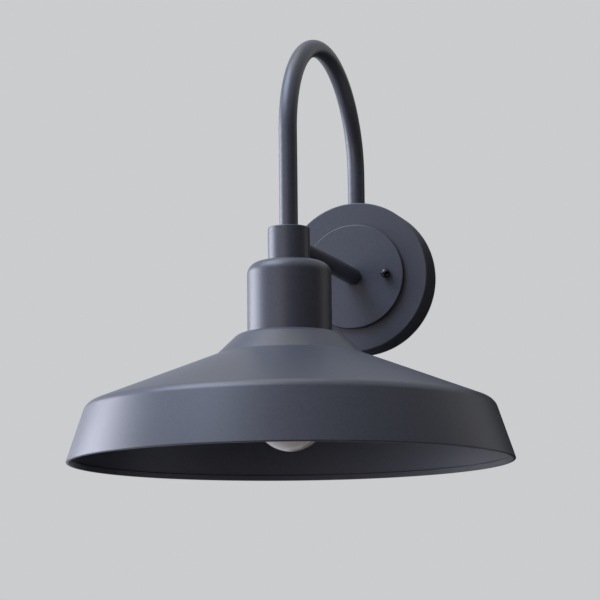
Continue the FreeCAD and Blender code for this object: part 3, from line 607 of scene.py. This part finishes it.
# %% [markdown]
# ## The backplate
# A deep round pan covers the wall box, with a raised disc on its front. The press leaves small rounds on its
# edges, and those catch the light as thin bright lines. Inside the top of the rim a boss gives the
# gooseneck's nut a flat seat.

# %% Backplate and gasket
pan_back, step_front = sorted(-y for y in span("backplate", "y"))
plate_wall = 2.5
step_radius, step_height = 46.5, 4.2
rim_front = step_front - step_height
boss_half, boss_face, boss_back = 10.0, 58.0, 12.0
stud_x = span("mounting_studs", "x")[1] - span("mounting_studs", "z")[1]
stud_hole = 2.3
plate_body = turned(
    [
        (0, step_front - plate_wall),
        (step_radius - plate_wall, step_front - plate_wall),
        (step_radius - plate_wall, rim_front - plate_wall, 0.8),
        (pan_radius - plate_wall, rim_front - plate_wall, 1.2),
        (pan_radius - plate_wall, pan_back),
        (pan_radius, pan_back, 0.6),
        (pan_radius, rim_front, 1.1),
        (step_radius, rim_front, 0.5),
        (step_radius, step_front, 0.9),
        (0, step_front),
    ],
    144,
)
boss = carve(
    block((-boss_half, boss_half), (boss_face, pan_radius), (boss_back, rim_front - plate_wall + 0.5)),
    rod(pan_radius - plate_wall / 2, 0, rim_front),
    "INTERSECT",
)
plate_body = carve(plate_body, boss, "UNION")
up_leg = Matrix.Translation((0, 0, -leg_y)) @ Matrix.Rotation(math.radians(-90), 4, "X")
drills = [rod(nipple_hole, boss_face - 1, pan_radius + 1, up_leg), rod(nipple_hole, 0, step_front + 1)]
drills += [rod(stud_hole, rim_front, step_front + 1, Matrix.Translation((x, 0, 0))) for x in (stud_x, -stud_x)]
piece(carve(plate_body, joined(*drills)), "stepped_backplate", powder_coat, ["backplate"])

gasket_radius = span("wall_gasket", "x")[1]
gasket_width = 6.5
gasket_section = [(gasket_radius - gasket_width, 0), (gasket_radius, 0, 0.5), (gasket_radius, pan_back, 0.5)]
gasket_section.append((gasket_radius - gasket_width, pan_back))
piece(turned(gasket_section, 96), "foam_gasket", foam, ["wall_gasket"])

# %% [markdown]
# ## Ball nuts
# Two little ball nuts hold the backplate on its studs. They are turned brass under gloss black enamel, the
# one shiny thing on the lamp. Each ball runs into a short neck, and its bore is blind.

# %% Ball nuts
ball_end, plate_side = (-y for y in span("cap_nuts", "y"))
ball_radius = span("cap_nuts", "z")[1]
ball_centre = ball_end - ball_radius
neck = 3.3
nut_bore = 2.15
nut_depth = 5.7
meeting = ball_centre - math.sqrt(ball_radius**2 - neck**2)
bm = outline([(nut_bore, plate_side), (neck, plate_side, 0.3), (neck, meeting)], False)
last = max(bm.verts, key=lambda v: (v.co.z, v.co.x))
ball_turn = math.pi / 2 + math.acos(neck / ball_radius)
ball = {"cent": (0, 0, ball_centre), "axis": (0, -1, 0), "angle": ball_turn}
bmesh.ops.spin(bm, geom=[last], **ball, steps=16, use_duplicate=False)
bm.verts.ensure_lookup_table()
first = min(bm.verts, key=lambda v: (v.co.z, v.co.x))
depth = [bm.verts.new((x, 0, plate_side + nut_depth)) for x in (nut_bore, 0)]
bm.edges.new((first, depth[0]))
bm.edges.new(depth)
nut = spun(bm, 48)
to_other_side = Matrix.Translation((-2 * stud_x, 0, 0))
nuts = moved(nut, Matrix.Translation((stud_x, 0, 0)))
piece(pair_of(nuts, to_other_side), "ball_nuts", enamel, ["cap_nuts"])

# %% [markdown]
# ## Threads
# A thread is one groove that climbs as it goes round. Spin can climb too: it takes a step along the axis
# with every step of the turn. One pitch of the outline makes a ribbon whose edges meet its next turn, and the
# weld closes them. What the thread and a turned sleeve share is a screw with flat, chamfered ends.

# %% Threaded rods
def helix(corners, pitch, low, high, foot, steps=32):
    """A threaded skin from low to high. The corners are one pitch of its outline, from its foot up."""
    start = foot - pitch * (math.ceil((foot - low) / pitch) + 1)
    turns = math.ceil((high - start) / pitch) + 1
    bm = outline([(corner[0], start + corner[1] * pitch, *corner[2:]) for corner in corners], False)
    climb = {"dvec": (0, 0, pitch / steps), "cent": (0, 0, 0), "axis": (0, 0, 1), "angle": 2 * math.pi * turns}
    bmesh.ops.spin(bm, geom=bm.verts[:] + bm.edges[:], **climb, steps=steps * turns, use_duplicate=False)
    bmesh.ops.remove_doubles(bm, verts=bm.verts, dist=1e-3)
    for height, side in ((low, "clear_inner"), (high, "clear_outer")):
        whole = bm.verts[:] + bm.edges[:] + bm.faces[:]
        bmesh.ops.bisect_plane(bm, geom=whole, plane_co=(0, 0, height), plane_no=(0, 0, 1), **{side: True})
    bmesh.ops.recalc_face_normals(bm, faces=bm.faces)
    return bm


def threaded(radius, bore, pitch, low, high):
    """A rod or a tube with a V thread and a chamfer at both ends."""
    depth = pitch * 0.6
    rod_skin = helix([(radius - depth, 0), (radius, 0.5), (radius - depth, 1)], pitch, low - 1, high + 1, low)
    bmesh.ops.holes_fill(rod_skin, edges=[e for e in rod_skin.edges if e.is_boundary], sides=0)
    bmesh.ops.recalc_face_normals(rod_skin, faces=rod_skin.faces)
    ends = [(bore, low), (radius - depth, low), (radius + 0.1, low + depth)]
    ends += [(radius + 0.1, high - depth), (radius - depth, high), (bore, high)]
    return carve(turned(ends, 32), rod_skin, "INTERSECT")


stud_radius = span("mounting_studs", "z")[1]
stud_pitch = 0.8
stud_tip = -span("mounting_studs", "y")[0]
stud = moved(threaded(stud_radius, 0, stud_pitch, 0, stud_tip), Matrix.Translation((stud_x, 0, 0)))
piece(pair_of(stud, to_other_side), "threaded_studs", zinc, ["mounting_studs"])

nipple_radius = span("strut_wall_nipple", "x")[1]
nipple_bore, nipple_pitch = 3.5, 0.94
at_leg = Matrix.Translation((0, leg_y * MM, 0))
for node, axis, place in (
    ("strut_wall_nipple", "y", outward),
    ("strut_hub_nipple", "y", outward),
    ("gooseneck_wall_nipple", "z", at_leg),
    ("gooseneck_hub_nipple", "z", upright),
    ("cup_nipple", "z", upright),
):
    ends = sorted(-y for y in span(node, "y")) if axis == "y" else span(node, "z")
    bm = threaded(nipple_radius, nipple_bore, nipple_pitch, *ends)
    piece(bm, "threaded_" + node, zinc, [node], place)

# %% [markdown]
# ## Nuts and washers
# A hexagon nut is cut from six-sided bar, and the lathe then takes its corners off, which leaves a curved
# edge on each flat. So it is what a prism and a turned disc share. A lock washer is a ring with one slanted
# cut, whose ends bite into the metal.

# %% Nuts and washers
def hexagon_nut(flats, bore, low, high, turn=0):
    """A chamfered nut about Z. At a turn of 0 its corners lie on X."""
    corner = flats / 2 / math.cos(math.radians(30))
    bar = bmesh.new()
    place = Matrix.Translation((0, 0, low)) @ Matrix.Rotation(math.radians(turn), 4, "Z")
    bmesh.ops.create_circle(bar, cap_ends=True, segments=6, radius=corner, matrix=place)
    top = bmesh.ops.extrude_face_region(bar, geom=bar.faces[:])["geom"]
    bmesh.ops.translate(bar, verts=[v for v in top if isinstance(v, bmesh.types.BMVert)], vec=(0, 0, high - low))
    bmesh.ops.recalc_face_normals(bar, faces=bar.faces)
    rise = (corner - flats / 2) * 0.6
    disc = [(bore, low), (flats / 2, low), (corner, low + rise), (corner, high - rise), (flats / 2, high), (bore, high)]
    return carve(bar, turned(disc, 48), "INTERSECT")


stud_flats = 8.6
nut_low, nut_high = sorted(-y for y in span("stud_nuts", "y"))
nut = hexagon_nut(stud_flats, stud_radius + 0.05, nut_low, nut_high, 30)
nuts = moved(nut, Matrix.Translation((stud_x, 0, 0)))
piece(pair_of(nuts, to_other_side), "stud_lock_nuts", zinc, ["stud_nuts"])

pipe_flats = 14.0
washer_radius = span("strut_lock_washer", "x")[1]
for end, place in (("strut", outward), ("gooseneck", at_leg), ("cup", upright)):
    nut, washer = end + "_lock_nut", end + "_lock_washer"
    flat = place is outward
    low, high = sorted(-y for y in span(nut, "y")) if flat else span(nut, "z")
    piece(hexagon_nut(pipe_flats, nipple_thread, low, high), "hex_" + nut, zinc, [nut], place)
    low, high = sorted(-y for y in span(washer, "y")) if flat else span(washer, "z")
    ring = turned([(nipple_hole, low), (washer_radius, low), (washer_radius, high), (nipple_hole, high)])
    slit = block((0, washer_radius + 1), (-0.5, 0.5), (low - 1, high + 1))
    slant = Matrix.Translation((0, 0, (low + high) / 2)) @ Matrix.Rotation(math.radians(35), 4, "X")
    slit = moved(slit, slant @ Matrix.Translation((0, 0, -(low + high) / 2)))
    piece(carve(ring, slit), "split_" + washer, zinc, [washer], place)

# %% [markdown]
# ## The mounting bracket
# A cross of zinc-plated strip, blanked in one stroke of a press. The upright bar has slots for the wall
# box's screws, and the level bar holds the studs. A plate starts as a flat outline with rounded corners,
# gets a face and a thickness, and the holes are punched through.

# %% Bracket
def plate(corners, thickness):
    """A flat plate with its back on the wall."""
    bm = outline(corners, True)
    bmesh.ops.contextual_create(bm, geom=bm.edges[:])
    bmesh.ops.recalc_face_normals(bm, faces=bm.faces)
    front = bmesh.ops.extrude_face_region(bm, geom=bm.faces[:])["geom"]
    bmesh.ops.translate(bm, verts=[v for v in front if isinstance(v, bmesh.types.BMVert)], vec=(0, -thickness, 0))
    bmesh.ops.recalc_face_normals(bm, faces=bm.faces)
    return bm


bar_half = 10.0
level_half = span("mounting_bracket", "x")[1]
upright_half = span("mounting_bracket", "z")[1]
bracket_thickness = -span("mounting_bracket", "y")[0]
slot_height, slot_half, slot_radius = 43.0, 5.5, 2.3
ground_x = -12.5
centre_hole, ground_hole = 5.2, 2.45
cross = []
for x, z in ((1, 1), (1, -1), (-1, -1), (-1, 1)):
    bar_end, inner = (x * bar_half, z * upright_half, 3), (x * bar_half, z * bar_half, 1.5)
    level_end = (x * level_half, z * bar_half, 3)
    cross += [bar_end, inner, level_end] if x * z > 0 else [level_end, inner, bar_end]
bracket = plate(cross, bracket_thickness)
punches = [rod(centre_hole, -1, 3, outward), rod(ground_hole, -1, 3, Matrix.Translation((ground_x, 0, 0)) @ outward)]
for side in (1, -1):
    punches.append(rod(stud_radius + 0.05, -1, 3, Matrix.Translation((side * stud_x, 0, 0)) @ outward))
    low, high = side * slot_height - slot_half, side * slot_height + slot_half
    slot = [(x, z, slot_radius - 0.01) for x, z in ((-slot_radius, low), (slot_radius, low), (slot_radius, high), (-slot_radius, high))]
    punches.append(moved(plate(slot, 4), Matrix.Translation((0, 1, 0))))
bracket = carve(bracket, joined(*punches))
piece(bracket, "stamped_bracket", zinc, ["mounting_bracket"], in_place)

# %% [markdown]
# ## Wire connectors and the ground screw
# Each lead ends in a twist-on connector: a tapered cap of orange plastic with a flared mouth and ribs for
# the fingers. The ribs are what a dozen round grooves leave standing. The green screw has a slotted
# hexagon head, so a driver or a socket fits.

# %% Connectors and ground screw
connector_start, connector_end = span("wire_connectors", "x")[1] - 22, span("wire_connectors", "x")[1]
connector_y = sum(span("wire_connectors", "y")) / 2
connector_z = sum(span("wire_connectors", "z")) / 2
mouth, tip = 6.5, 4.0
bore = 1.2
connector = turned(
    [
        (0, connector_start + 13),
        (bore, connector_start + 13),
        (bore, connector_start + 5),
        (4.6, connector_start, 0.4),
        (mouth, connector_start, 0.8),
        (mouth - 0.2, connector_start + 3.5),
        (mouth - 0.9, connector_start + 4.5),
        (tip, connector_end, 1.5),
        (0, connector_end),
    ],
    48,
)
for rib in range(12):
    groove = rod(0.7, connector_start + 5.5, connector_end + 1)
    lean = Matrix.Rotation(math.radians(30 * rib), 4, "Z") @ Matrix.Translation((mouth - 0.55, 0, connector_start + 5))
    lean = lean @ Matrix.Rotation(math.radians(-5.3), 4, "Y") @ Matrix.Translation((0, 0, -connector_start - 5))
    connector = carve(connector, moved(groove, lean))
along_x = Matrix.Translation((0, connector_y, connector_z)) @ Matrix.Rotation(math.radians(90), 4, "Y")
half_turn = Matrix.Translation((0, connector_y, 0)) @ Matrix.Rotation(math.pi, 4, "Z") @ Matrix.Translation((0, -connector_y, 0))
connectors = pair_of(moved(connector, along_x), half_turn)
piece(connectors, "twist_connectors", orange_plastic, ["wire_connectors"], in_place)

screw_front = -span("ground_screw", "y")[0]
head_radius = span("ground_screw", "z")[1]
head_height = 2.6
shank = rod(ground_hole - 0.05, 0, screw_front - head_height + 0.2)
head = hexagon_nut(2 * head_radius * math.cos(math.radians(30)), 0, screw_front - head_height, screw_front)
slot = block((-head_radius, head_radius), (-0.5, 0.5), (screw_front - 1.2, screw_front + 1))
ground_screw = carve(carve(head, shank, "UNION"), slot)
ground_screw = moved(ground_screw, Matrix.Translation((ground_x, 0, 0)))
piece(ground_screw, "slotted_ground_screw", green_zinc, ["ground_screw"])

# %% [markdown]
# ## The lampholder
# The body is pressed and fired porcelain, with notches for its two terminals and a flange that rests in the
# shade. The ring below it is moulded phenolic with finger grooves, and it pulls the shade up against the
# flange. Glaze softens each edge, so every corner of the outline is rounded.

# %% Lampholder
holder_mouth, holder_top = span("lampholder_body", "z")
flange_radius = span("lampholder_body", "x")[1]
skirt_radius, body_radius, cavity_radius = flange_radius - 5, flange_radius - 6, flange_radius - 11
cavity_top = holder_mouth + 27
flange_low = shade_top + 1
holder = turned(
    [
        (0, cavity_top),
        (cavity_radius, cavity_top, 1),
        (cavity_radius, holder_mouth, 1.2),
        (skirt_radius, holder_mouth, 1.2),
        (skirt_radius, flange_low),
        (flange_radius, flange_low, 0.5),
        (flange_radius, flange_low + 3.5, 0.9),
        (body_radius, flange_low + 3.5, 0.8),
        (body_radius, holder_top, 1.5),
        (0, holder_top),
    ],
    96,
)
pocket_floor = body_radius - 6.5
terminal_z, small_hole = holder_top - 6, 1.65
cuts = [rod(small_hole, cavity_top - 1, cavity_top + 5.5, Matrix.Translation((-8, 0, 0)))]
for side in (1, -1):
    cuts.append(block((-6, 6), sorted((side * pocket_floor, side * (body_radius + 1))), (holder_top - 12, holder_top + 1)))
    cuts.append(rod(small_hole, holder_top - 6.8, holder_top + 1, Matrix.Translation((side * 14.1, 0, 0))))
    across = Matrix.Translation((0, 0, terminal_z)) @ Matrix.Rotation(math.radians(-90 * side), 4, "X")
    cuts.append(rod(small_hole, pocket_floor - 5, pocket_floor + 0.5, across))
for cut in cuts:
    holder = carve(holder, cut)
piece(holder, "porcelain_holder", porcelain, ["lampholder_body"], upright)

ring_low, ring_high = span("shade_ring", "z")
ring_radius = span("shade_ring", "x")[1]
grip_count, grip_radius = 12, 1.5
ring = turned(
    [
        (skirt_radius + 0.05, ring_low),
        (ring_radius, ring_low, 1.2),
        (ring_radius, ring_high, 0.4),
        (skirt_radius + 0.05, ring_high),
    ],
    144,
)
for k in range(grip_count):
    turn = Matrix.Rotation(2 * math.pi * k / grip_count, 4, "Z") @ Matrix.Translation((ring_radius, 0, 0))
    ring = carve(ring, rod(grip_radius, ring_low - 1, ring_high - grip_radius, turn))
piece(ring, "grip_ring", phenolic, ["shade_ring"], upright)

# %% [markdown]
# ## Rolled threads
# The bulb's cap and the shell that takes it are thin metal with the same round thread rolled into both, so
# they screw together with a little air between. Both come from one helix with the same foot and the same
# pitch, and therefore stay in step as the bulb turns and sinks.

# %% Cap and shell
pitch = 3.63
cap_bottom, cap_top = span("bulb_cap", "z")
cap_radius = span("bulb_cap", "x")[1]
cap_root = cap_radius - 0.8
cap_sheet = 0.3
thread_foot = cap_bottom + 3.5
thread_head = thread_foot + 4 * pitch
crest_round, crest_loss = 1.9, 0.17


def rolled(crest, root, low, high):
    """One round thread's skin. Rounding takes crest_loss off each crest and root, so they are drawn past."""
    centre, half = (crest + root) / 2, (crest - root) / 2 + crest_loss
    wave = [(centre, 0), (centre + half, 0.25, crest_round), (centre - half, 0.75, crest_round), (centre, 1)]
    return helix(wave, pitch, low, high, thread_foot, 48)


thread = rolled(cap_radius, cap_root, cap_bottom - 1, cap_top + 1)
bmesh.ops.holes_fill(thread, edges=[e for e in thread.edges if e.is_boundary], sides=0)
bmesh.ops.recalc_face_normals(thread, faces=thread.faces)
fade_in = [
    (0, thread_foot - 0.5),
    (cap_root - 0.2, thread_foot - 0.5),
    (cap_radius, thread_foot + 1.5),
    (cap_radius, thread_head - 1.5),
    (cap_root - 0.2, thread_head + 0.5),
    (0, thread_head + 0.5),
]
thread = carve(turned(fade_in, 96), thread, "INTERSECT")
barrel = turned([(0, cap_bottom), (cap_root, cap_bottom), (cap_root, cap_top, 0.5), (0, cap_top)], 96)
hollow = turned(
    [
        (0, cap_bottom - 1),
        (cap_root - cap_sheet, cap_bottom - 1),
        (cap_root - cap_sheet, cap_top - cap_sheet),
        (9.4, cap_top - cap_sheet),
        (9.4, cap_top + 1),
        (0, cap_top + 1),
    ],
    96,
)
cap = carve(carve(barrel, thread, "UNION"), hollow)
piece(cap, "rolled_screw_cap", nickel, ["bulb_cap"], upright, "bulb")

shell_low, shell_high = span("lampholder_shell", "z")
shell_sheet = 0.4
shell_radius = span("lampholder_shell", "x")[1] - shell_sheet
shell = rolled(shell_radius, shell_radius - 0.8, shell_low, shell_high)
bmesh.ops.solidify(shell, geom=shell.faces[:], thickness=-shell_sheet)
piece(shell, "rolled_shell", brass, ["lampholder_shell"], upright)

# %% [markdown]
# ## The bulb's glass
# A blown bulb is three smooth curves: a ball, a waist that bends the other way, and a straight neck. One
# point spun round the centre of the ball and then round the centre of the waist draws the first two, and
# a second line, one wall thickness in, makes the glass.

# %% Bulb glass
ball_radius = span("bulb_glass", "x")[1]
glass_bottom, glass_top = span("bulb_glass", "z")
glass_wall, neck_radius, waist = 0.8, 11.6, 40.0
ball_z = glass_bottom + ball_radius
waist_x = neck_radius + waist
waist_z = ball_z + math.sqrt((ball_radius + waist) ** 2 - waist_x**2)
lean = math.atan2(waist_z - ball_z, waist_x)


def glass_line(bm, inset):
    """The bulb's profile, moved in by the inset, and its two end points."""
    first = bm.verts.new((0, 0, ball_z - ball_radius + inset))
    ball = {"cent": (0, 0, ball_z), "axis": (0, -1, 0), "angle": math.pi / 2 + lean, "steps": 28}
    last = open_end(bmesh.ops.spin(bm, geom=[first], **ball, use_duplicate=False), "geom_last")
    bend = {"cent": (waist_x, 0, waist_z), "axis": (0, 1, 0), "angle": lean, "steps": 10}
    last = open_end(bmesh.ops.spin(bm, geom=last, **bend, use_duplicate=False), "geom_last")
    top = bm.verts.new((neck_radius - inset, 0, glass_top))
    bm.edges.new((last[0], top))
    return first, top


bm = bmesh.new()
outer_foot, outer_top = glass_line(bm, 0)
inner_foot, inner_top = glass_line(bm, glass_wall)
bm.edges.new((outer_top, inner_top))
piece(spun(bm, 80), "etched_bulb", etched_glass, ["bulb_glass"], upright, "bulb")

# %% [markdown]
# ## Pieces that keep their CAD form
# Plain bent strip, wire and small screws are already right in the CAD model. They only need their finish,
# which goes into the slots of their own objects.

# %% Finishes for the CAD pieces
kept = {
    zinc: ["strut_wall_bushing", "strut_hub_bushing", "gooseneck_wall_bushing", "gooseneck_hub_bushing"]
    + ["saddle_bracket", "saddle_screws"],
    brass: ["centre_contact", "contact_screw", "terminal_screws"],
    silicone: ["shade_gasket"],
    cement: ["cap_cement"],
    black_glass: ["bulb_insulator"],
    solder: ["bulb_contact"],
    clear_glass: ["bulb_stem"],
    nickel: ["filament_wires"],
    tungsten: ["filament"],
    black_vinyl: ["black_lead"],
    white_vinyl: ["white_lead"],
    green_vinyl: ["ground_wire"],
    tin: ["fixture_ground_lug", "bracket_ground_lug"],
}
for material, nodes in kept.items():
    for node in nodes:
        for material_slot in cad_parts[node].material_slots:
            material_slot.material = material
print(sum(map(len, kept.values())), "CAD pieces kept")
